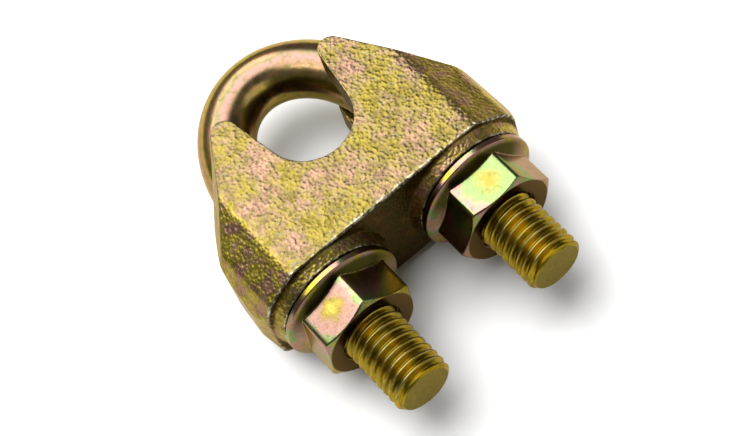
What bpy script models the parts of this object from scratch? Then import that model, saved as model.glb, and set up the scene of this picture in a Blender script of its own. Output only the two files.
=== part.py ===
"""Wire rope clip: a U-bolt, a cast saddle with a rope seat, and two collar nuts.

The clip lies on the saddle's back face. X runs from leg to leg, Y along the
legs towards the bow, and Z out of the saddle's front face. The lengths below
are in millimetres, and the heights are measured along Y from the saddle's base.
"""

import math

import bmesh
import bpy
from mathutils import Vector

MM = 0.001

# Driving dimensions of the clip.
LEG_SPACING = 38.0
THREAD_DIAMETER = 13.9
THREAD_ROOT = 11.6
THREAD_PITCH = 2.0
ROD_DIAMETER = 13.5
BOW_START = 30.3
BOW_RISE = 25.0
LEG_ENDS = {-1: -29.4, 1: -27.4}
THREAD_TOP = 8.0
TIP_DIAMETER = 12.0

SADDLE_THICKNESS = 32.0
SADDLE_HALF_WIDTH = 36.0
SEAT_RADIUS = 10.2
SEAT_CENTRE = 29.8
SEAT_FLARE = math.radians(9.0)
HORN_RADIUS = 3.0
SHOULDER_SUM = 60.4
SHOULDERS = ((34.7, 19.6), (30.5, 27.4))
SHOULDER_RADIUS = 12.0
BASE_HALF_WIDTH = 34.6
SIDE_HEIGHT = 7.0
EDGE_RADIUS = 0.5
BACK_ROUNDING = 3.5
BOSS_HEIGHT = 2.8
BOSS_PAD_RADIUS = 14.4
BOSS_ROOT_RADIUS = 15.4
LEG_HOLE = 15.2
BOW_SLOT = 14.8
BOW_SLOT_CENTRE = 34.3

# The saddle's half section along the legs, from back to front: (x, z, corner radius).
SADDLE_SECTION = (
    (25.0, -16.0, 4.0),
    (34.2, -10.4, 3.0),
    (36.2, -4.0, 3.0),
    (35.8, 4.0, 3.0),
    (33.0, 10.4, 3.0),
    (25.0, 16.0, 4.0),
)
# The slope that joins the faces to the sides passes through (x, height, depth).
SLOPE_AT_HORN = (17.2, 42.8, 16.0)
SLOPE_AT_FACE = (24.6, 30.1, 16.0)
SLOPE_AT_SIDE = (34.2, 22.9, 4.0)

NUT_ACROSS_FLATS = 22.0
NUT_HEIGHT = 11.4
NUT_GAP = 0.3
COLLAR_RADIUS = 14.6
COLLAR_RIM = 1.4
COLLAR_SLOPE = 0.46
COLLAR_CHAMFER = 0.4
NECK_RADIUS = 10.0
CHAMFER_HEIGHT = 0.9
CHAMFER_SLOPE = 0.6
NUT_TURNS = {-1: math.radians(25.2), 1: math.radians(4.6)}
THREAD_CLEARANCE = 0.22
NUT_COUNTERSINK = 15.4

# Where the model's origin lies: under the middle of the whole clip.
BOW_TOP = BOW_START + BOW_RISE + ROD_DIAMETER / 2
BASE_Y = -(BOW_TOP + LEG_ENDS[-1]) / 2
MIDDLE_Z = SADDLE_THICKNESS / 2

LEG_SIDES = 20
BOW_STEPS = 32
ARC_STEP = math.radians(11.0)
COLLAR_SIDES = 48

# Rows of one thread turn: the share of the pitch, and whether it is on the crest.
BOLT_THREAD = ((0.0, False), (0.25, False), (0.5625, True), (0.6875, True))
NUT_THREAD = ((0.04, False), (0.21, False), (0.52, True), (0.73, True))


def clear_scene():
    for item in list(bpy.data.objects):
        bpy.data.objects.remove(item, do_unlink=True)


def plated_steel(name, colour, roughness):
    """A zinc-plated steel with a yellow passivation of this colour."""
    material = bpy.data.materials.new(name)
    material.use_nodes = True
    surface = material.node_tree.nodes["Principled BSDF"]
    surface.inputs["Base Color"].default_value = (*colour, 1.0)
    surface.inputs["Roughness"].default_value = roughness
    surface.inputs["Metallic"].default_value = 1.0
    return material


def new_object(name, bm, place=(0.0, 0.0, 0.0), material=None):
    """An object at place, in millimetres, from a bmesh in millimetres."""
    bmesh.ops.recalc_face_normals(bm, faces=bm.faces)
    bmesh.ops.scale(bm, vec=(MM, MM, MM), verts=bm.verts)
    mesh = bpy.data.meshes.new(name)
    bm.to_mesh(mesh)
    bm.free()
    item = bpy.data.objects.new(name, mesh)
    item.location = Vector(place) * MM
    bpy.context.scene.collection.objects.link(item)
    if material:
        mesh.materials.append(material)
        mesh.shade_smooth()
        mesh.set_sharp_from_angle(angle=math.radians(30.0))
    return item


def cutter(name, bm, place):
    item = new_object(name, bm, place)
    item.hide_render = True
    item.display_type = "WIRE"
    return item


def combine(item, other, operation):
    modifier = item.modifiers.new(f"{operation} {other.name}", "BOOLEAN")
    modifier.operation = operation
    modifier.object = other


def add_prism(bm, outline, along, start, end):
    """Adds the solid of an outline that runs from start to end along one axis."""
    axis = "XYZ".index(along)
    rings = []
    for level in (start, end):
        ring = []
        for across, up in outline:
            point = [across, up]
            point.insert(axis, level)
            ring.append(bm.verts.new(point))
        rings.append(ring)
    bm.faces.new(rings[0])
    bm.faces.new(rings[1])
    for index in range(len(outline)):
        after = (index + 1) % len(outline)
        bm.faces.new((rings[0][index], rings[0][after], rings[1][after], rings[1][index]))


def rounded(corners):
    """The outline of a polygon given as (across, up, corner radius)."""
    outline = []
    for index, (across, up, radius) in enumerate(corners):
        corner = Vector((across, up))
        if radius == 0.0:
            outline.append(corner)
            continue
        before = (Vector(corners[index - 1][:2]) - corner).normalized()
        after = (Vector(corners[(index + 1) % len(corners)][:2]) - corner).normalized()
        half_angle = before.angle(after) / 2
        centre = corner + (before + after).normalized() * (radius / math.sin(half_angle))
        first = corner + before * (radius / math.tan(half_angle)) - centre
        last = corner + after * (radius / math.tan(half_angle)) - centre
        turn = first.angle_signed(last)
        steps = max(1, round(abs(turn) / ARC_STEP))
        for step in range(steps + 1):
            angle = -turn * step / steps
            swung = (
                first.x * math.cos(angle) - first.y * math.sin(angle),
                first.x * math.sin(angle) + first.y * math.cos(angle),
            )
            outline.append(centre + Vector(swung))
    return [(point.x, point.y) for point in outline]


def mirrored(right_half):
    """Corners of the right half, bottom to top, followed by those of the left."""
    left_half = [(-across, up, radius) for across, up, radius in reversed(right_half)]
    return right_half + left_half


def saddle_front_outline():
    """The saddle seen from the front: base, shoulders, horns and rope seat."""
    seat_apex = SEAT_CENTRE - SEAT_RADIUS / math.sin(SEAT_FLARE)
    slope = math.tan(SEAT_FLARE)
    horn_up = (SHOULDER_SUM + seat_apex * slope) / (1 + slope)
    right_half = [
        (BASE_HALF_WIDTH, BOSS_HEIGHT, EDGE_RADIUS),
        (SADDLE_HALF_WIDTH, SIDE_HEIGHT, HORN_RADIUS),
        *((across, up, SHOULDER_RADIUS) for across, up in SHOULDERS),
        (SHOULDER_SUM - horn_up, horn_up, HORN_RADIUS),
    ]
    left_half = mirrored(right_half)[len(right_half):]
    return rounded(right_half + [(0.0, seat_apex, SEAT_RADIUS)] + left_half)


def saddle_plan_outline():
    """The saddle seen along the legs: flat faces with sides that fall away."""
    return rounded(mirrored(list(SADDLE_SECTION)))


def saddle_side_outline():
    """The saddle seen from its end: the base's back edge is well rounded."""
    half = SADDLE_THICKNESS / 2
    top = SHOULDER_SUM
    corners = [
        (BOSS_HEIGHT, -half, BACK_ROUNDING),
        (top, -half, 0.0),
        (top, half, 0.0),
        (BOSS_HEIGHT, half, EDGE_RADIUS),
    ]
    return rounded(corners)


def add_shoulder_wedges(bm):
    """Four wedges that slope the shoulders from the faces to the sides."""
    horn_edge = Vector(SLOPE_AT_HORN)
    face_edge = Vector(SLOPE_AT_FACE)
    side_edge = Vector(SLOPE_AT_SIDE)
    outward = (face_edge - horn_edge).cross(side_edge - horn_edge).normalized()
    along = (horn_edge - face_edge).normalized()
    across = outward.cross(along)
    reach = 60.0
    for side in (-1, 1):
        for face in (-1, 1):
            mirror = Vector((side, 1, face))
            corners = []
            for depth in (0.0, reach):
                for first, second in ((-1, -1), (1, -1), (1, 1), (-1, 1)):
                    point = face_edge + outward * depth + (along * first + across * second) * reach
                    corners.append(bm.verts.new(point * mirror))
            bottom, top = corners[:4], corners[4:]
            bm.faces.new(bottom)
            bm.faces.new(top)
            for index in range(4):
                after = (index + 1) % 4
                bm.faces.new((bottom[index], bottom[after], top[after], top[index]))


def circle(centre_x, centre_y, radius, sides):
    angles = [math.tau * side / sides for side in range(sides)]
    return [(centre_x + radius * math.cos(a), centre_y + radius * math.sin(a)) for a in angles]


def add_turned(bm, profile):
    """Adds the solid that a (radius, height) profile makes when turned round Y."""
    rings = []
    for radius, height in profile:
        outline = circle(0.0, 0.0, radius, COLLAR_SIDES)
        rings.append([bm.verts.new((x, height, z)) for x, z in outline])
    bm.faces.new(rings[0])
    bm.faces.new(rings[-1])
    for here, there in zip(rings, rings[1:]):
        for side in range(COLLAR_SIDES):
            after = (side + 1) % COLLAR_SIDES
            bm.faces.new((here[side], here[after], there[after], there[side]))


def make_saddle(material):
    place = (0.0, BASE_Y, MIDDLE_Z)
    bm = bmesh.new()
    half = SADDLE_THICKNESS / 2
    add_prism(bm, saddle_front_outline(), "Z", -half, half)
    saddle = new_object("saddle", bm, place, material)

    bm = bmesh.new()
    add_prism(bm, saddle_plan_outline(), "Y", -1.0, SHOULDER_SUM)
    combine(saddle, cutter("saddle_plan_guide", bm, place), "INTERSECT")

    bm = bmesh.new()
    add_prism(bm, saddle_side_outline(), "X", -SADDLE_HALF_WIDTH - 1, SADDLE_HALF_WIDTH + 1)
    combine(saddle, cutter("saddle_side_guide", bm, place), "INTERSECT")

    bm = bmesh.new()
    add_shoulder_wedges(bm)
    combine(saddle, cutter("saddle_shoulder_cutter", bm, place), "DIFFERENCE")

    for side, name in ((-1, "left"), (1, "right")):
        bm = bmesh.new()
        profile = [
            (BOSS_PAD_RADIUS, 0.0),
            (BOSS_ROOT_RADIUS, BOSS_HEIGHT),
            (BOSS_ROOT_RADIUS, BOSS_HEIGHT + BACK_ROUNDING),
        ]
        add_turned(bm, profile)
        boss_place = (side * LEG_SPACING / 2, BASE_Y, MIDDLE_Z)
        combine(saddle, cutter(f"saddle_{name}_boss", bm, boss_place), "UNION")

    bm = bmesh.new()
    for side in (-1, 1):
        hole = circle(side * LEG_SPACING / 2, 0.0, LEG_HOLE / 2, 2 * LEG_SIDES)
        add_prism(bm, hole, "Y", -5.0, SHOULDER_SUM)
    combine(saddle, cutter("saddle_hole_cutter", bm, place), "DIFFERENCE")

    bm = bmesh.new()
    width = BOW_SLOT / 2
    lower = [(BOW_SLOT_CENTRE - width, -width, width), (SHOULDER_SUM, -width, 0.0)]
    upper = [(SHOULDER_SUM, width, 0.0), (BOW_SLOT_CENTRE - width, width, width)]
    add_prism(bm, rounded(lower + upper), "X", -LEG_SPACING / 2, LEG_SPACING / 2)
    combine(saddle, cutter("saddle_slot_cutter", bm, place), "DIFFERENCE")
    return saddle


def add_threaded_rod(bm, rows, crest, root, start, end, phase):
    """Adds a right-hand thread on the Y axis and returns its rings at start and end.

    start and end are (height, radius). The lower end tapers at 45 degrees, and
    phase moves the thread along Y.
    """
    low, low_radius = start
    high, high_radius = end
    count = len(rows)
    first_turn = math.floor((low - phase) / THREAD_PITCH) - 1
    last_turn = math.ceil((high - phase) / THREAD_PITCH) + 2
    spokes = [math.tau * side / LEG_SIDES for side in range(LEG_SIDES)]

    def vertex(angle, height, radius):
        return bm.verts.new((radius * math.cos(angle), height, radius * math.sin(angle)))

    low_ring = [vertex(angle, low, low_radius) for angle in spokes]
    high_ring = [vertex(angle, high, high_radius) for angle in spokes]
    columns = []
    for side, angle in enumerate(spokes):
        column = []
        for row in range((last_turn - first_turn) * count):
            share, on_crest = rows[row % count]
            turn = first_turn + row // count + share - side / LEG_SIDES
            height = phase + turn * THREAD_PITCH
            if height <= low:
                column.append(low_ring[side])
            elif height >= high:
                column.append(high_ring[side])
            else:
                radius = min(crest if on_crest else root, low_radius + height - low)
                column.append(vertex(angle, height, radius))
        columns.append(column)
    # One turn round the rod, the thread has come down by one pitch.
    columns.append([low_ring[0]] * count + columns[0][:-count])
    for side in range(LEG_SIDES):
        here, there = columns[side], columns[side + 1]
        for row in range(len(here) - 1):
            corners = list(dict.fromkeys((here[row], there[row], there[row + 1], here[row + 1])))
            if len(corners) > 2:
                bm.faces.new(corners)
    return low_ring, high_ring


def add_bow(bm):
    """Adds the bow and the plain shanks, from one threaded leg to the other."""
    radius = ROD_DIAMETER / 2
    half_spacing = LEG_SPACING / 2
    stations = [(Vector((-half_spacing, THREAD_TOP, 0)), Vector((1, 0, 0)))]
    for step in range(BOW_STEPS + 1):
        angle = math.pi * (1 - step / BOW_STEPS)
        centre = Vector(
            (half_spacing * math.cos(angle), BOW_START + BOW_RISE * math.sin(angle), 0)
        )
        heading = Vector((half_spacing * math.sin(angle), -BOW_RISE * math.cos(angle), 0))
        stations.append((centre, Vector((heading.y, -heading.x, 0)).normalized()))
    stations.append((Vector((half_spacing, THREAD_TOP, 0)), Vector((-1, 0, 0))))
    rings = []
    for centre, inward in stations:
        ring = []
        for side in range(LEG_SIDES):
            angle = math.tau * side / LEG_SIDES
            reach = inward * math.cos(angle) + Vector((0, 0, math.sin(angle)))
            ring.append(bm.verts.new(centre + reach * radius))
        rings.append(ring)
    for here, there in zip(rings, rings[1:]):
        for side in range(LEG_SIDES):
            after = (side + 1) % LEG_SIDES
            bm.faces.new((here[side], here[after], there[after], there[side]))


def make_u_bolt(material):
    bm = bmesh.new()
    for side, leg_end in LEG_ENDS.items():
        leg = bmesh.new()
        tip = (leg_end, TIP_DIAMETER / 2)
        shank = (THREAD_TOP, ROD_DIAMETER / 2)
        low_ring, _ = add_threaded_rod(
            leg, BOLT_THREAD, THREAD_DIAMETER / 2, THREAD_ROOT / 2, tip, shank, 0.0
        )
        leg.faces.new(low_ring)
        bmesh.ops.translate(leg, vec=(side * LEG_SPACING / 2, 0, 0), verts=leg.verts)
        mesh = bpy.data.meshes.new("leg")
        leg.to_mesh(mesh)
        leg.free()
        bm.from_mesh(mesh)
        bpy.data.meshes.remove(mesh)
    add_bow(bm)
    bmesh.ops.remove_doubles(bm, verts=bm.verts, dist=0.001)
    return new_object("u_bolt", bm, (0.0, BASE_Y, MIDDLE_Z), material)


def make_nut(name, side, material):
    """A hexagon nut whose collar bears on the saddle, with its thread cut."""
    bearing = -NUT_GAP
    place = (side * LEG_SPACING / 2, BASE_Y + bearing, MIDDLE_Z)
    bottom = -NUT_HEIGHT
    corner_radius = NUT_ACROSS_FLATS / math.sqrt(3)

    bm = bmesh.new()
    corners = []
    for corner in range(6):
        angle = NUT_TURNS[side] + math.radians(60 * corner)
        corners.append((corner_radius * math.cos(angle), corner_radius * math.sin(angle)))
    add_prism(bm, corners, "Y", bottom, -COLLAR_RIM / 2)
    nut = new_object(name, bm, place, material)

    bm = bmesh.new()
    cone_drop = (COLLAR_RADIUS - NECK_RADIUS) * COLLAR_SLOPE
    profile = [
        (COLLAR_RADIUS - COLLAR_CHAMFER, 0.0),
        (COLLAR_RADIUS, -COLLAR_CHAMFER),
        (COLLAR_RADIUS, -COLLAR_RIM),
        (NECK_RADIUS, -COLLAR_RIM - cone_drop),
    ]
    add_turned(bm, profile)
    combine(nut, cutter(f"{name}_collar", bm, place), "UNION")

    bm = bmesh.new()
    guard = COLLAR_RADIUS + 1.0
    face_radius = corner_radius - CHAMFER_HEIGHT / CHAMFER_SLOPE
    profile = [
        (guard, 1.0),
        (guard, bottom + (guard - face_radius) * CHAMFER_SLOPE),
        (face_radius - 1.0, bottom - CHAMFER_SLOPE),
    ]
    add_turned(bm, profile)
    combine(nut, cutter(f"{name}_chamfer_guide", bm, place), "INTERSECT")

    bm = bmesh.new()
    phase = -bearing
    crest = THREAD_DIAMETER / 2 + THREAD_CLEARANCE
    root = THREAD_ROOT / 2 + THREAD_CLEARANCE
    below = (bottom - 2.0, crest)
    above = (2.0, crest)
    low_ring, high_ring = add_threaded_rod(bm, NUT_THREAD, crest, root, below, above, phase)
    bm.faces.new(low_ring)
    bm.faces.new(high_ring)
    combine(nut, cutter(f"{name}_thread_cutter", bm, place), "DIFFERENCE")

    bm = bmesh.new()
    mouth = NUT_COUNTERSINK / 2
    throat = THREAD_ROOT / 2
    for face, outward in ((bottom, -1), (0.0, 1)):
        cone = [
            (throat, face - outward * (mouth - throat)),
            (mouth + 1.0, face + outward * 1.0),
        ]
        add_turned(bm, cone)
    combine(nut, cutter(f"{name}_countersink_cutter", bm, place), "DIFFERENCE")
    return nut


def main():
    clear_scene()
    make_saddle(plated_steel("cast saddle, yellow passivated", (0.42, 0.37, 0.16), 0.45))
    make_u_bolt(plated_steel("U-bolt, yellow passivated", (0.36, 0.31, 0.12), 0.25))
    for side, name in ((-1, "left"), (1, "right")):
        steel = plated_steel(f"{name} collar nut, yellow passivated", (0.50, 0.47, 0.20), 0.28)
        make_nut(f"nut_{name}", side, steel)


main()
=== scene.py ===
"""A wire rope clip of yellow-passivated steel, lying on a pale studio floor.

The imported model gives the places. Shapes are worked out in millimetres: X runs
from leg to leg, Y along the legs towards the bow, and Z up from the floor.
"""

import math

import bmesh
import bpy
import numpy as np
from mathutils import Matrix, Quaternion, Vector, noise


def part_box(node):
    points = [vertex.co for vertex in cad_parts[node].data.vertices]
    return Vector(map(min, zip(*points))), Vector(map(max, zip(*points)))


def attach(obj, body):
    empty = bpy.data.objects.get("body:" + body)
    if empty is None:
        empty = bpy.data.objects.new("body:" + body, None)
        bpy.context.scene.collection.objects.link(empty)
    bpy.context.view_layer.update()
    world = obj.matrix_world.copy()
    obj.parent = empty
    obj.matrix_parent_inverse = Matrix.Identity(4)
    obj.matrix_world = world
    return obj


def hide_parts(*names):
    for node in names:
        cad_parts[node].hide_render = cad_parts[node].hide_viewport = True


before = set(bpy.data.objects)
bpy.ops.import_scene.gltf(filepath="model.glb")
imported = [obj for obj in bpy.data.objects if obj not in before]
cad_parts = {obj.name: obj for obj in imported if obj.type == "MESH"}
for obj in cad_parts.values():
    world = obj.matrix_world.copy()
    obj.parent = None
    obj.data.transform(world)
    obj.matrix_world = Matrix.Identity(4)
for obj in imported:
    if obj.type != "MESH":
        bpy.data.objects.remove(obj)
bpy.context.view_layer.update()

MM = 0.001


def box_mm(node):
    """The lowest and highest corners of a CAD node, in millimetres."""
    return [np.array(corner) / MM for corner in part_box(node)]


SADDLE_LOW, SADDLE_HIGH = box_mm("saddle")
BOLT_LOW, BOLT_HIGH = box_mm("u_bolt")
NUT_BOXES = {side: box_mm(f"nut_{side}") for side in ("left", "right")}
SIDES = {"left": -1, "right": 1}

# The U-bolt.
LEG_X = (NUT_BOXES["right"][0][0] + NUT_BOXES["right"][1][0]) / 2
MIDDLE_Z = (SADDLE_LOW[2] + SADDLE_HIGH[2]) / 2
BASE_Y = SADDLE_LOW[1]
CREST_RADIUS = BOLT_HIGH[0] - LEG_X
ROOT_RADIUS = 5.8
THREAD_PITCH = 2.0
THREAD_SHIFT = 0.625
THREAD_TOP = BASE_Y + 8.0
ROD_RADIUS = 6.75
TIP_RADIUS = 6.0
BOW_RISE = 25.0
BOW_START = BOLT_HIGH[1] - ROD_RADIUS - BOW_RISE
BOW_LENGTH = 68.0
RUNOUT = 1.2
LEG_ENDS = {"left": BOLT_LOW[1], "right": BOLT_LOW[1] + 2.0}
# The fineness of its mesh: round the rod, along the bow, and along each turn of thread.
BOLT_COLUMNS = 112
BOW_STEPS = 132
BOLT_ROWS_PER_PITCH = 17

# The nuts.
NUT_ACROSS_FLATS = 22.0
NUT_TURNS = {"left": math.radians(25.2), "right": math.radians(4.6)}
COLLAR_RADIUS = (NUT_BOXES["left"][1][0] - NUT_BOXES["left"][0][0]) / 2
COLLAR_RIM = 1.4
COLLAR_SLOPE = 0.46
NECK_RADIUS = 10.0
NUT_FACE_RADIUS = 10.9
NUT_BORE_GAP = 0.22
NUT_MOUTH = 7.7
COLLAR_ZONE = 4.0
# The fineness of their meshes: round the nut, along its outside, and along each turn of thread.
NUT_COLUMNS = 180
NUT_ROWS = 90
NUT_ROWS_PER_PITCH = 12

# The small rounded lumps of the casting's faces.
PEBBLE_SIZE = 0.75

# The saddle's rope seat: its centre above the base, and how far the horns reach from it.
SEAT_CENTRE = 29.8
HORN_REACH = 22.0

# The cast skin of the saddle: the step and smoothing of its mesh, the sizes of its lumps,
# and their depth on the two faces and elsewhere.
SKIN_STEP = 0.28
SKIN_SMOOTHING = 5
GRAIN_SIZE = 0.80
BROAD_GRAIN = 2.4
FINE_GRAIN = 0.7
FACE_GRAIN = 0.22
SIDE_GRAIN = 0.06
# Where a normal's Z part begins to count as a face, and how soon it counts in full.
FACE_START = 0.86
FACE_BLEND = 0.12
# The rounding that counts as a worn edge, and how far it is evened out over the mesh.
WORN_DEPTH = 0.016
WORN_SPREAD = 4
# The height above the base that the material reads as 1.
HEIGHT_SCALE = 45.0

# The middle of the stain on each flat: across it, and up from the nut's end face.
BLOTCHES = {
    "left": ((3, 8), (-0.5, 5.5), (-4, 7), (5, 3), (-3, 2), (0, 7)),
    "right": ((6, 2), (-1.2, 5.0), (-5, 2), (0, 8), (4, 5), (-2, 3)),
}
BLOTCH_WIDTH = 4.0
BLOTCH_HEIGHT = 4.5

# The camera looks down from the side of the leg ends, a little from the left.
CAMERA_AZIMUTH = math.radians(-19.7)
CAMERA_ELEVATION = math.radians(60.2)
CAMERA_ROLL = math.radians(-22.02)
CAMERA_DISTANCE = 434.1
CAMERA_AIM = Vector((-3.0, -5.6, MIDDLE_Z))
CAMERA_LENS = 98.63


# ---------------------------------------------------------------- meshes


def new_piece(name, points, faces, body, node):
    """A smooth mesh piece that rides on a body in place of a CAD node."""
    mesh = bpy.data.meshes.new(name)
    mesh.from_pydata(np.asarray(points).reshape(-1, 3) * MM, [], faces)
    mesh.validate()
    mesh.shade_smooth()
    piece = bpy.data.objects.new(name, mesh)
    bpy.context.scene.collection.objects.link(piece)
    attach(piece, body)
    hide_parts(node)
    return piece


def add_attribute(piece, name, values):
    """Gives each vertex a number that the piece's material reads."""
    attribute = piece.data.attributes.new(name, "FLOAT", "POINT")
    attribute.data.foreach_set("value", np.asarray(values, dtype=np.float32).ravel())


def ring_faces(rows, columns, closed):
    """Quads between rings of vertices, each ring closed on itself."""
    last = rows if closed else rows - 1
    faces = []
    for row in range(last):
        here = row * columns
        there = (row + 1) % rows * columns
        for column in range(columns):
            after = (column + 1) % columns
            faces.append((here + column, here + after, there + after, there + column))
    if not closed:
        faces.append(tuple(range(columns))[::-1])
        faces.append(tuple(range((rows - 1) * columns, rows * columns)))
    return faces


def outward(piece):
    """Turns all the faces of a closed piece outward."""
    bm = bmesh.new()
    bm.from_mesh(piece.data)
    bmesh.ops.recalc_face_normals(bm, faces=bm.faces)
    bm.to_mesh(piece.data)
    bm.free()


def soft_min(first, second, width):
    """The smaller of two values, blended where they differ by less than width."""
    blend = np.clip(0.5 + 0.5 * (second - first) / width, 0.0, 1.0)
    return second + (first - second) * blend - width * blend * (1.0 - blend)


def soft_max(first, second, width):
    """The larger of two values, blended in the same way."""
    return -soft_min(-first, -second, width)


def thread_radius(angle, height):
    """The radius of the bolt's thread at an angle from +X to +Z round its leg."""
    turn = (height - BASE_Y) / THREAD_PITCH + angle / math.tau
    from_crest = np.abs((turn - THREAD_SHIFT + 0.5) % 1.0 - 0.5) * THREAD_PITCH
    flank = CREST_RADIUS - (from_crest - THREAD_PITCH / 12) * math.sqrt(3)
    crest = soft_min(flank, CREST_RADIUS, 0.22)
    return soft_max(crest, np.full_like(crest, ROOT_RADIUS), 0.5)


def make_u_bolt():
    """One bent rod: a threaded leg, the bow, and the other leg."""
    columns = BOLT_COLUMNS
    around = np.arange(columns) * math.tau / columns
    points, along, relief = [], [], []

    def add_ring(centre, inward, radius, distance):
        reach = np.outer(np.cos(around), inward) + np.outer(np.sin(around), (0, 0, 1))
        points.append(np.asarray(centre) + reach * np.asarray(radius)[..., None])
        along.append(np.full(columns, distance))
        relief.append((radius - ROOT_RADIUS) / (CREST_RADIUS - ROOT_RADIUS))

    def leg_rings(side):
        """The rings of one leg, from the middle of its end face to its shank."""
        sign = SIDES[side]
        end = LEG_ENDS[side]
        angle = np.arctan2(np.sin(around), -sign * np.cos(around))
        rings = [(end, np.full(columns, radius)) for radius in (0.3, 2.0, 4.0, 5.5)]
        edge = 0.25
        for step in range(6):
            swing = math.radians(15 * step)
            radius = TIP_RADIUS - edge + edge * math.sin(swing)
            rings.append((end + edge * (1 - math.cos(swing)), np.full(columns, radius)))
        rows = round((THREAD_TOP - end) / THREAD_PITCH * BOLT_ROWS_PER_PITCH)
        for height in np.linspace(end + 0.3, THREAD_TOP, rows):
            taper = TIP_RADIUS + (height - end)
            runout = np.clip((height - THREAD_TOP + RUNOUT) / RUNOUT, 0.0, 1.0)
            radius = soft_min(thread_radius(angle, height), np.full(columns, taper), 0.3)
            radius = radius + (ROD_RADIUS - radius) * runout
            rings.append((height, radius))
        rings.append((THREAD_TOP + 4.0, np.full(columns, ROD_RADIUS)))
        return [
            ((sign * LEG_X, height, MIDDLE_Z), (-sign, 0, 0), radius) for height, radius in rings
        ]

    for centre, inward, radius in leg_rings("left"):
        add_ring(centre, inward, radius, centre[1] - BOW_START)
    for step in range(BOW_STEPS + 1):
        angle = math.pi * (1 - step / BOW_STEPS)
        centre = (LEG_X * math.cos(angle), BOW_START + BOW_RISE * math.sin(angle), MIDDLE_Z)
        heading = np.array((LEG_X * math.sin(angle), -BOW_RISE * math.cos(angle), 0.0))
        inward = np.array((heading[1], -heading[0], 0.0)) / np.linalg.norm(heading)
        add_ring(centre, inward, np.full(columns, ROD_RADIUS), BOW_LENGTH * step / BOW_STEPS)
    for centre, inward, radius in reversed(leg_rings("right")):
        add_ring(centre, inward, radius, BOW_LENGTH + BOW_START - centre[1])

    faces = ring_faces(len(points), columns, False)
    piece = new_piece("u_bolt_steel", points, faces, "u_bolt", "u_bolt")
    outward(piece)
    add_attribute(piece, "along", along)
    add_attribute(piece, "around", np.tile(around, len(points)))
    left_thread = np.array(along) < THREAD_TOP - BOW_START
    right_thread = np.array(along) > BOW_LENGTH + BOW_START - THREAD_TOP
    add_attribute(piece, "thread", left_thread | right_thread)
    add_attribute(piece, "relief", relief)
    sides = ["right" if ring[0, 0] > 0 else "left" for ring in points]
    ends = [ring[:, 1] < LEG_ENDS[side] + 0.02 for ring, side in zip(points, sides)]
    add_attribute(piece, "end", ends)
    return piece


def hexagon_radius(angle, turn):
    """The polar radius of a hexagon with softly rounded corners."""
    power = 46
    total = np.zeros_like(angle)
    for face in range(6):
        facing = np.cos(angle - turn - math.radians(30 + 60 * face))
        total += np.clip(facing / (NUT_ACROSS_FLATS / 2), 0.0, None) ** power
    return total ** (-1 / power)


def make_nut(side):
    """A nut with a coned collar towards the saddle and a thread inside."""
    low, high = NUT_BOXES[side]
    top, bottom = high[1], low[1]
    centre = np.array(((low[0] + high[0]) / 2, 0.0, MIDDLE_Z))
    columns = NUT_COLUMNS
    angle = np.arange(columns) * math.tau / columns + NUT_TURNS[side]
    hexagon = hexagon_radius(angle, NUT_TURNS[side])

    def circle(radius):
        return np.full(columns, float(radius))

    rings = [(top, circle(radius)) for radius in (NUT_MOUTH, 9.0, 12.0)]
    edge = 0.4
    for step in range(7):
        swing = math.radians(15 * step)
        radius = COLLAR_RADIUS - edge + edge * math.sin(swing)
        rings.append((top - edge * (1 - math.cos(swing)), circle(radius)))
    for height in np.linspace(top - edge - 0.1, bottom, NUT_ROWS):
        depth = top - height
        cone = COLLAR_RADIUS - max(0.0, depth - COLLAR_RIM) / COLLAR_SLOPE
        radius = soft_max(hexagon, circle(max(cone, NECK_RADIUS)), 0.12)
        chamfer = NUT_FACE_RADIUS + (height - bottom) * math.sqrt(3)
        if depth < COLLAR_RIM + 3.0:
            radius = soft_min(radius, circle(COLLAR_RADIUS), 0.12)
        rings.append((height, soft_min(radius, circle(chamfer), 0.25)))
    face = rings[-1][1]
    for share in (0.02, 0.06, 0.3, 0.7, 0.97):
        rings.append((bottom, face + (NUT_MOUTH - face) * share))
    rows = round((top - bottom) / THREAD_PITCH * NUT_ROWS_PER_PITCH)
    for height in np.linspace(bottom + 0.02, top - 0.02, rows):
        to_face = min(top - height, height - bottom)
        thread = thread_radius(angle, height) + NUT_BORE_GAP
        rings.append((height, soft_max(thread, circle(NUT_MOUTH - to_face), 0.1)))

    points = []
    for height, radius in rings:
        ring = np.stack((radius * np.cos(angle), circle(height), radius * np.sin(angle)), axis=1)
        points.append(centre + ring)
    name = f"nut_{side}"
    faces = ring_faces(len(points), columns, True)
    piece = new_piece(f"{name}_steel", points, faces, name, name)
    outward(piece)
    past_flats = [radius > hexagon + 0.05 for _, radius in rings]
    near_top = [circle(height > top - COLLAR_ZONE) for height, _ in rings]
    add_attribute(piece, "collar", [near * past for near, past in zip(near_top, past_flats)])
    add_attribute(piece, "end", [circle(height < bottom + 0.01) for height, _ in rings])
    # Painted shade: a mask for the cone of the collar next to the flats, on the side facing up.
    upward = np.clip(np.sin(angle) * 2.0 - 0.2, 0.0, 1.0)
    groove_shade = []
    for (height, _), past in zip(rings, past_flats):
        groove_shade.append(np.clip((top - height - COLLAR_RIM) / 0.5, 0.0, 1.0) * past * upward)
    add_attribute(piece, "groove_shade", groove_shade)
    facing = (angle - NUT_TURNS[side]) % math.radians(60) - math.radians(30)
    flat = np.floor((angle - NUT_TURNS[side]) / math.radians(60)).astype(int) % 6
    across = NUT_ACROSS_FLATS / 2 * np.tan(facing)
    middle_across, middle_up = np.array([BLOTCHES[side][face] for face in flat]).T
    from_middle = (across - middle_across) / BLOTCH_WIDTH
    blotch = [
        np.hypot(from_middle, (height - bottom - middle_up) / BLOTCH_HEIGHT) for height, _ in rings
    ]
    add_attribute(piece, "blotch", blotch)
    add_attribute(piece, "flat", np.tile(flat, len(rings)))
    return piece


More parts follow.
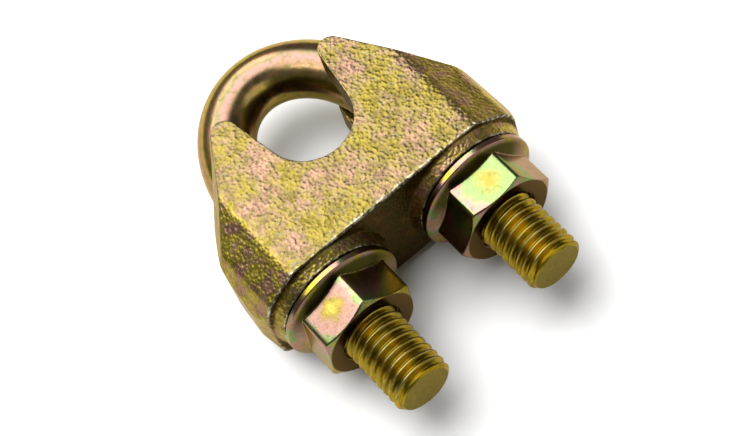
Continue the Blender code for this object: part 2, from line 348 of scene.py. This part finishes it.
def evaluated_copy(source):
    """A new mesh with the modifiers of an object applied."""
    shaped = source.evaluated_get(bpy.context.evaluated_depsgraph_get())
    return bpy.data.meshes.new_from_object(shaped)


def mesh_values(mesh, key):
    """The co or normal of each vertex, as an array."""
    values = np.empty(len(mesh.vertices) * 3, dtype=np.float32)
    mesh.vertices.foreach_get(key, values)
    return values.reshape(-1, 3).astype(np.float64)


def spread(mesh, values, rounds):
    """Averages a value at each vertex with its neighbours."""
    edges = np.empty(len(mesh.edges) * 2, dtype=np.int32)
    mesh.edges.foreach_get("vertices", edges)
    first, second = edges.reshape(-1, 2).T
    count = np.bincount(edges, minlength=len(values))
    for _ in range(rounds):
        around = np.bincount(first, values[second], len(values))
        around += np.bincount(second, values[first], len(values))
        values = (values + around) / (1 + count)
    return values


def make_saddle():
    """The casting: the CAD shape with rounded edges and a granular skin."""
    rough = bpy.data.objects.new("saddle_rough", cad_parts["saddle"].data.copy())
    bpy.context.scene.collection.objects.link(rough)
    remesh = rough.modifiers.new("skin", "REMESH")
    remesh.mode = "VOXEL"
    remesh.voxel_size = SKIN_STEP * MM
    sharp = evaluated_copy(rough)
    smooth = rough.modifiers.new("edges", "SMOOTH")
    smooth.factor = 0.5
    smooth.iterations = SKIN_SMOOTHING
    mesh = evaluated_copy(rough)
    bpy.data.objects.remove(rough, do_unlink=True)
    mesh.name = "saddle_casting"
    places = mesh_values(mesh, "co") / MM
    normals = mesh_values(mesh, "normal")
    cut_back = ((mesh_values(sharp, "co") / MM - places) * normals).sum(axis=1)
    worn = spread(mesh, cut_back, WORN_SPREAD)
    bpy.data.meshes.remove(sharp)

    face = np.clip((np.abs(normals[:, 2]) - FACE_START) / FACE_BLEND, 0.0, 1.0)
    grain = np.empty(len(places))
    for index, place in enumerate(places):
        point = Vector(place)
        near = noise.voronoi(point / GRAIN_SIZE)[0]
        lump = min((near[1] - near[0]) * 1.5, 1.0)
        broad = noise.noise(point / BROAD_GRAIN)
        grain[index] = 0.45 * lump + 0.30 * broad + 0.4 * noise.noise(point / FINE_GRAIN)
    height = np.clip(grain + 0.15, 0.0, 1.0)
    depth = (1.0 - height) * (SIDE_GRAIN + (FACE_GRAIN - SIDE_GRAIN) * face)
    places -= normals * depth[:, None]
    mesh.vertices.foreach_set("co", (places * MM).astype(np.float32).ravel())
    mesh.shade_smooth()
    mesh.materials.clear()
    piece = bpy.data.objects.new("saddle_casting", mesh)
    bpy.context.scene.collection.objects.link(piece)
    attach(piece, "saddle")
    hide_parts("saddle")
    add_attribute(piece, "grain", height)
    add_attribute(piece, "face", face)
    add_attribute(piece, "worn", np.clip(worn / WORN_DEPTH - 0.3, 0.0, 1.0))
    # The mask of the painted shade: faces turned towards the leg ends, and the inner wall of the
    # rope seat.
    from_seat = places[:, :2] - (0.0, BASE_Y + SEAT_CENTRE)
    reach = np.linalg.norm(from_seat, axis=1)
    inward = -(normals[:, :2] * from_seat).sum(axis=1) / reach * (reach < HORN_REACH)
    add_attribute(piece, "web_and_seat_shade", np.clip(np.maximum(-normals[:, 1], inward) * 2.0 - 0.6, 0.0, 1.0))
    add_attribute(piece, "height", (places[:, 1] - BASE_Y) / HEIGHT_SCALE)
    return piece


# ------------------------------------------------------------- materials


# How the plated metal reflects at a glancing angle.
EDGE_TINT = (0.90, 0.78, 0.60, 1.0)


class Surface:
    """A metal material, with short calls for its procedural nodes."""

    def __init__(self, name, roughness):
        self.material = bpy.data.materials.new(name)
        self.material.use_nodes = True
        self.tree = self.material.node_tree
        self.shader = self.tree.nodes["Principled BSDF"]
        self.shader.inputs["Metallic"].default_value = 1.0
        self.shader.inputs["Roughness"].default_value = roughness
        self.shader.inputs["Specular Tint"].default_value = EDGE_TINT
        self.place = self.add("ShaderNodeTexCoord").outputs["Object"]

    def add(self, kind, **settings):
        node = self.tree.nodes.new(kind)
        for key, value in settings.items():
            setattr(node, key, value)
        return node

    def set(self, socket, value):
        """Links a socket to another, or gives it a constant."""
        if isinstance(value, bpy.types.NodeSocket):
            self.tree.links.new(value, socket)
        else:
            socket.default_value = value

    def attribute(self, name):
        return self.add("ShaderNodeAttribute", attribute_name=name).outputs["Fac"]

    def vector(self, x, y, z):
        node = self.add("ShaderNodeCombineXYZ")
        for socket, value in zip(node.inputs, (x, y, z)):
            self.set(socket, value)
        return node.outputs[0]

    def noise(self, size, detail=3.0, roughness=0.5, distortion=0.0, place=None):
        """Noise whose lumps are about size millimetres."""
        node = self.add("ShaderNodeTexNoise")
        self.set(node.inputs["Vector"], place or self.place)
        self.set(node.inputs["Scale"], 1.0 / (size * MM) if place is None else 1.0 / size)
        self.set(node.inputs["Detail"], detail)
        self.set(node.inputs["Roughness"], roughness)
        self.set(node.inputs["Distortion"], distortion)
        return node.outputs["Fac"]

    def math(self, operation, *values):
        node = self.add("ShaderNodeMath", operation=operation)
        for socket, value in zip(node.inputs, values):
            self.set(socket, value)
        return node.outputs[0]

    def ramp(self, source, *stops):
        """A colour or grey ramp through (position, colour) stops."""
        node = self.add("ShaderNodeValToRGB")
        band = node.color_ramp
        while len(band.elements) < len(stops):
            band.elements.new(0.5)
        for element, (position, colour) in zip(band.elements, stops):
            element.position = position
            grey = isinstance(colour, (int, float))
            element.color = (colour,) * 3 + (1.0,) if grey else (*colour, 1.0)
        self.set(node.inputs["Fac"], source)
        return node.outputs["Color"]

    def mix(self, factor, first, second, blend="MIX"):
        node = self.add("ShaderNodeMix", data_type="RGBA", blend_type=blend)
        self.set(node.inputs["Factor"], factor)
        for name, value in (("A", first), ("B", second)):
            socket = next(s for s in node.inputs if s.name == name and s.type == "RGBA")
            self.set(socket, value if isinstance(value, bpy.types.NodeSocket) else (*value, 1.0))
        return next(s for s in node.outputs if s.type == "RGBA")

    def bump(self, height, distance, strength=1.0):
        node = self.add("ShaderNodeBump")
        self.set(node.inputs["Height"], height)
        self.set(node.inputs["Distance"], distance * MM)
        self.set(node.inputs["Strength"], strength)
        self.tree.links.new(node.outputs["Normal"], self.shader.inputs["Normal"])

    def finish(self, piece, colour, roughness=None):
        self.set(self.shader.inputs["Base Color"], colour)
        if roughness is not None:
            self.set(self.shader.inputs["Roughness"], roughness)
        piece.data.materials.append(self.material)


# The colours of the yellow passivated plating, as the metal reflects them, and colours that paint
# light and shade on it, as noted below.
YELLOW_GREEN = (0.190, 0.146, 0.028)
YELLOW_BEIGE = (0.185, 0.136, 0.055)
PINK_BEIGE = (0.235, 0.140, 0.093)
PALE_GREY = (0.55, 0.53, 0.40)
SPOT_GREY = (0.085, 0.105, 0.080)
GREY_GREEN = (0.045, 0.055, 0.035)
OLIVE = (0.24, 0.19, 0.025)
# Painted shade: dark olive for the saddle's shaded web and seat wall, and for the groove of each
# nut's collar.
SHADE_OLIVE = (0.030, 0.027, 0.005)
MAUVE = (0.24, 0.135, 0.09)
LIME = (0.135, 0.190, 0.068)
PINK = (0.26, 0.145, 0.12)
# Painted shade: brown and dull gold for the saddle's shaded web and seat wall; the brown also
# darkens each nut's end face.
SHADE_BROWN = (0.055, 0.028, 0.008)
UNDER_SHADE_GOLD = (0.17, 0.095, 0.012)
SLOPE_GOLD = (0.32, 0.245, 0.045)
SLOPE_PINK = (0.32, 0.190, 0.11)
# Painted light: brighter colours for the right slope of the saddle.
LIT_SLOPE_GOLD = (0.50, 0.37, 0.07)
LIT_SLOPE_PINK = (0.48, 0.27, 0.16)
# Painted light: a brighter colour that lifts the inner side of the bow.
INNER_BROWN = (0.34, 0.24, 0.10)
# Darker colours for the top of the bow, which tone down the softbox highlight there as painted
# shade.
ROD_MAUVE = (0.15, 0.098, 0.052)
ROD_PINK = (0.20, 0.115, 0.098)
ROD_BEIGE = (0.13, 0.115, 0.055)
THREAD_GOLD = (0.28, 0.185, 0.008)
THREAD_OLIVE = (0.18, 0.140, 0.015)
# Painted highlight: the pale colour of the thread crests.
THREAD_CREST_HIGHLIGHT = (0.31, 0.26, 0.10)
END_OLIVE = (0.150, 0.115, 0.022)


def paint_saddle(piece):
    """Speckled faces, golden slopes painted lighter on the right and darker on the left as painted
    light and shade, dark undersides and seat wall painted as shade, painted shade between the
    lumps, and a broken worn line at the base.
    """
    cast = Surface("cast saddle skin", 0.38)
    face = cast.attribute("face")
    worn = cast.attribute("worn")
    height = cast.attribute("height")
    broad = cast.noise(7.0, detail=2.0)
    close = cast.noise(1.3, detail=4.0, roughness=0.7)
    patches = cast.math("ADD", cast.math("MULTIPLY", broad, 0.5), cast.math("MULTIPLY", close, 0.5))
    colour = cast.ramp(patches, (0.42, YELLOW_GREEN), (0.50, YELLOW_BEIGE), (0.59, PINK_BEIGE))
    streaks = cast.noise(7.0, detail=4.0, roughness=0.6, distortion=0.6)
    # Painted light and shade on the slopes: the right slope gets brighter colours as painted light
    # and the left slope darker ones as painted shade, blended across the middle by X.
    lit_right_slope = cast.ramp(
        streaks, (0.36, LIT_SLOPE_PINK), (0.46, LIT_SLOPE_GOLD), (0.54, SLOPE_GOLD), (0.64, LIT_SLOPE_PINK)
    )
    darker_tone = cast.ramp(streaks, (0.36, PINK_BEIGE), (0.45, SLOPE_GOLD), (0.52, OLIVE), (0.60, MAUVE))
    across = cast.add("ShaderNodeSeparateXYZ")
    cast.set(across.inputs[0], cast.place)
    sideways = cast.math("MULTIPLY_ADD", across.outputs["X"], 40.0, 0.5)
    rightward = cast.ramp(sideways, (0.0, 0.0), (1.0, 1.0))
    colour = cast.mix(face, cast.mix(rightward, darker_tone, lit_right_slope), colour)
    # Painted shade: the web, the faces turned towards the leg ends and the inner wall of the rope
    # seat get dark olive, brown and dull gold, mottled by noise.
    under_mottle = cast.noise(3.0, detail=4.0, roughness=0.7)
    painted_under_shade = cast.ramp(under_mottle, (0.38, SHADE_OLIVE), (0.56, SHADE_BROWN), (0.76, UNDER_SHADE_GOLD))
    colour = cast.mix(cast.attribute("web_and_seat_shade"), colour, painted_under_shade)
    # Painted shade: the low points between the cast lumps are darkened.
    painted_crevice_shade = cast.ramp(cast.attribute("grain"), (0.0, 0.55), (0.35, 0.9), (0.8, 1.1))
    colour = cast.mix(1.0, colour, painted_crevice_shade, "MULTIPLY")
    spots = cast.ramp(cast.noise(1.6, detail=3.0, roughness=0.6), (0.30, 0.7), (0.36, 0.0))
    colour = cast.mix(cast.math("MULTIPLY", spots, face), colour, SPOT_GREY)
    speckle = cast.noise(1.7, detail=5.0, roughness=0.75)
    low = cast.ramp(height, (0.10, 0.75), (0.25, 0.0))
    bare = cast.ramp(speckle, (0.46, 0.0), (0.58, 1.0))
    pale = cast.math("MULTIPLY", cast.math("MULTIPLY", worn, low), bare)
    dark = cast.math("MULTIPLY", worn, cast.ramp(speckle, (0.44, 0.6), (0.54, 0.0)))
    colour = cast.mix(pale, cast.mix(dark, colour, GREY_GREEN), PALE_GREY)
    pebbles = cast.add("ShaderNodeTexVoronoi", feature="SMOOTH_F1")
    cast.set(pebbles.inputs["Vector"], cast.place)
    cast.set(pebbles.inputs["Scale"], 1.0 / (PEBBLE_SIZE * MM))
    cast.set(pebbles.inputs["Smoothness"], 0.6)
    rise = cast.math("SUBTRACT", 1.0, pebbles.outputs["Distance"])
    relief = cast.math("MULTIPLY", rise, cast.ramp(face, (0.0, 0.75), (1.0, 1.0)))
    cast.bump(relief, 0.14, 1.0)
    cast.finish(piece, colour)


def paint_u_bolt(piece):
    """Bands of colour along the bow, partly painted light and shade, golden threads with a painted
    highlight on their crests, and darker, rougher ends.
    """
    rod = Surface("plated U-bolt", 0.24)
    around = rod.math("DIVIDE", rod.attribute("around"), math.tau)
    along = rod.attribute("along")
    turned = rod.vector(rod.math("MULTIPLY", along, 0.06), rod.math("MULTIPLY", around, 5.0), 0.0)
    wander = rod.noise(1.0, detail=5.0, roughness=0.65, place=turned)
    band = rod.math("ADD", around, rod.math("MULTIPLY", rod.math("SUBTRACT", wander, 0.5), 0.16))
    # Bands round the rod by angle: plating tint, with the inner side painted lighter to lift a dark
    # reflection, and darker colours on the top that tone down the softbox highlight as painted
    # shade.
    bow = rod.ramp(
        band,
        (0.0, OLIVE),
        (0.06, SLOPE_PINK),
        (0.10, SLOPE_GOLD),
        (0.15, INNER_BROWN),
        (0.19, ROD_MAUVE),
        (0.23, ROD_PINK),
        (0.26, ROD_BEIGE),
        (0.30, SLOPE_PINK),
        (0.35, SLOPE_GOLD),
        (0.40, MAUVE),
        (0.46, OLIVE),
    )
    mottle = rod.ramp(
        rod.noise(1.6, detail=4.0, roughness=0.65),
        (0.36, (0.70, 0.82, 0.50)),
        (0.5, 1.0),
        (0.62, (1.2, 1.0, 0.95)),
    )
    bow = rod.mix(1.0, bow, mottle, "MULTIPLY")
    relief = rod.attribute("relief")
    shades = rod.ramp(rod.noise(3.0, detail=4.0), (0.38, THREAD_OLIVE), (0.55, THREAD_GOLD))
    # Painted highlight: the thread crests are painted paler in patches.
    crest = rod.ramp(relief, (0.82, 0.0), (0.97, 1.0))
    patchy = rod.ramp(rod.noise(1.2, detail=3.0), (0.35, 0.1), (0.6, 0.9))
    crest_highlight = rod.math("MULTIPLY", crest, patchy)
    thread = rod.mix(crest_highlight, shades, THREAD_CREST_HIGHLIGHT)
    lanes = rod.vector(rod.math("MULTIPLY", along, 4.0), rod.math("MULTIPLY", around, 9.0), 0.0)
    streaks = rod.noise(1.0, detail=4.0, roughness=0.7, place=lanes)
    lined = rod.ramp(streaks, (0.32, 0.45), (0.5, 0.95), (0.66, 1.25))
    thread = rod.mix(1.0, thread, lined, "MULTIPLY")
    colour = rod.mix(rod.attribute("thread"), bow, thread)
    dark_end, light_end = (tuple(share * c for c in END_OLIVE) for share in (0.8, 1.25))
    darker_tone = rod.ramp(rod.noise(0.5, detail=3.0), (0.3, dark_end), (0.7, light_end))
    end = rod.attribute("end")
    colour = rod.mix(end, colour, darker_tone)
    rod.bump(rod.noise(0.5, detail=3.0), 0.02, 0.5)
    thread_dullness = rod.math("MULTIPLY", rod.attribute("thread"), 0.07)
    dullness = rod.math("ADD", thread_dullness, rod.math("MULTIPLY", end, 0.14))
    rod.finish(piece, colour, rod.math("ADD", dullness, 0.24))


def paint_nut(piece, side):
    """Stained flats, a banded collar with painted shade in its groove on the upper side, and a face
    at the open end painted dark brown as shade.
    """
    steel = Surface(f"plated nut {side}", 0.22)
    flat = steel.attribute("flat")
    shifted = steel.add("ShaderNodeVectorMath", operation="ADD")
    steel.set(shifted.inputs[0], steel.place)
    steel.set(shifted.inputs[1], steel.vector(steel.math("MULTIPLY", flat, 0.05), 0.0, 0.0))
    place = steel.add("ShaderNodeVectorMath", operation="SCALE")
    steel.set(place.inputs[0], shifted.outputs[0])
    place.inputs["Scale"].default_value = 1 / MM
    wander = steel.noise(2.6, detail=5.0, roughness=0.65, place=place.outputs[0])
    uneven = steel.math("MULTIPLY", steel.math("SUBTRACT", wander, 0.5), 1.7)
    reach = steel.math("ADD", steel.attribute("blotch"), uneven)
    if side == "left":
        stops = (
            (0.0, SLOPE_GOLD),
            (0.22, YELLOW_GREEN),
            (0.36, PINK_BEIGE),
            (0.62, PINK),
            (0.80, LIME),
            (1.0, OLIVE),
        )
    else:
        stops = (
            (0.05, YELLOW_GREEN),
            (0.42, LIME),
            (0.60, LIME),
            (0.78, PINK),
            (1.0, PINK_BEIGE),
        )
    flats = steel.ramp(steel.math("MULTIPLY", reach, 0.5), *stops)
    rim = steel.ramp(
        steel.noise(4.0, detail=4.0), (0.38, OLIVE), (0.48, MAUVE), (0.55, PINK), (0.64, LIME)
    )
    colour = steel.mix(steel.attribute("collar"), flats, rim)
    specks = steel.noise(1.1, detail=5.0, roughness=0.75)
    stains = steel.ramp(specks, (0.32, 0.55), (0.42, 0.92), (0.62, 1.08))
    colour = steel.mix(1.0, colour, stains, "MULTIPLY")
    # Painted shade in the groove between the collar and the flats, on the upper side.
    colour = steel.mix(steel.attribute("groove_shade"), colour, SHADE_OLIVE)
    # Painted shade: the end face, turned away from the softbox, is painted dark brown.
    colour = steel.mix(steel.attribute("end"), colour, SHADE_BROWN)
    steel.bump(steel.noise(0.5, detail=3.0), 0.02, 0.5)
    steel.finish(piece, colour)


# ----------------------------------------------------------------- stage


def make_floor():
    """The pale floor that the clip lies on."""
    mesh = bpy.data.meshes.new("floor")
    half = 3.0
    corners = [(-half, -half, 0), (half, -half, 0), (half, half, 0), (-half, half, 0)]
    mesh.from_pydata(corners, [], [(0, 1, 2, 3)])
    floor = bpy.data.objects.new("floor", mesh)
    bpy.context.scene.collection.objects.link(floor)
    material = bpy.data.materials.new("white studio floor")
    material.use_nodes = True
    paint = material.node_tree.nodes["Principled BSDF"]
    paint.inputs["Base Color"].default_value = (0.93, 0.93, 0.93, 1.0)
    paint.inputs["Roughness"].default_value = 0.9
    mesh.materials.append(material)


def make_camera():
    """The camera of the photo's view."""
    camera = bpy.data.objects.new("camera", bpy.data.cameras.new("camera"))
    bpy.context.scene.collection.objects.link(camera)
    camera.data.lens = CAMERA_LENS
    camera.data.sensor_width = 36.0
    camera.data.clip_start = 0.01
    across = math.cos(CAMERA_ELEVATION)
    forward = Vector((
        -math.sin(CAMERA_AZIMUTH) * across,
        math.cos(CAMERA_AZIMUTH) * across,
        -math.sin(CAMERA_ELEVATION),
    ))
    camera.location = (CAMERA_AIM - forward * CAMERA_DISTANCE) * MM
    level = forward.to_track_quat("-Z", "Y")
    camera.rotation_mode = "QUATERNION"
    camera.rotation_quaternion = level @ Quaternion((0, 0, 1), CAMERA_ROLL)
    bpy.context.scene.camera = camera


def add_area_light(name, place, size, power):
    """A square soft light that faces the clip; place and size are in metres."""
    light = bpy.data.objects.new(name, bpy.data.lights.new(name, "AREA"))
    bpy.context.scene.collection.objects.link(light)
    light.data.size = size
    light.data.energy = power
    light.location = place
    light.rotation_euler = (-Vector(place)).to_track_quat("-Z", "Y").to_euler()
    return light


def add_reflector(name, place, size, power):
    """A dim card that only the metal sees."""
    card = add_area_light(name, place, size, power)
    card.visible_diffuse = False


def light_studio():
    """A wide softbox over the bow and a dim card before the threads, in a dim room."""
    world = bpy.data.worlds.new("studio")
    world.use_nodes = True
    world.node_tree.nodes["Background"].inputs["Color"].default_value = (1.0, 1.0, 1.0, 1.0)
    world.node_tree.nodes["Background"].inputs["Strength"].default_value = 0.15
    bpy.context.scene.world = world
    add_area_light("overhead softbox", (-0.12, 0.38, 0.78), size=1.0, power=19.0)
    add_reflector("front card", (0.35, -0.65, 0.40), size=0.8, power=2.0)
    view = bpy.context.scene.view_settings
    view.view_transform = "Standard"
    view.look = "None"


paint_saddle(make_saddle())
paint_u_bolt(make_u_bolt())
for nut_side in SIDES:
    paint_nut(make_nut(nut_side), nut_side)
make_floor()
make_camera()
light_studio()
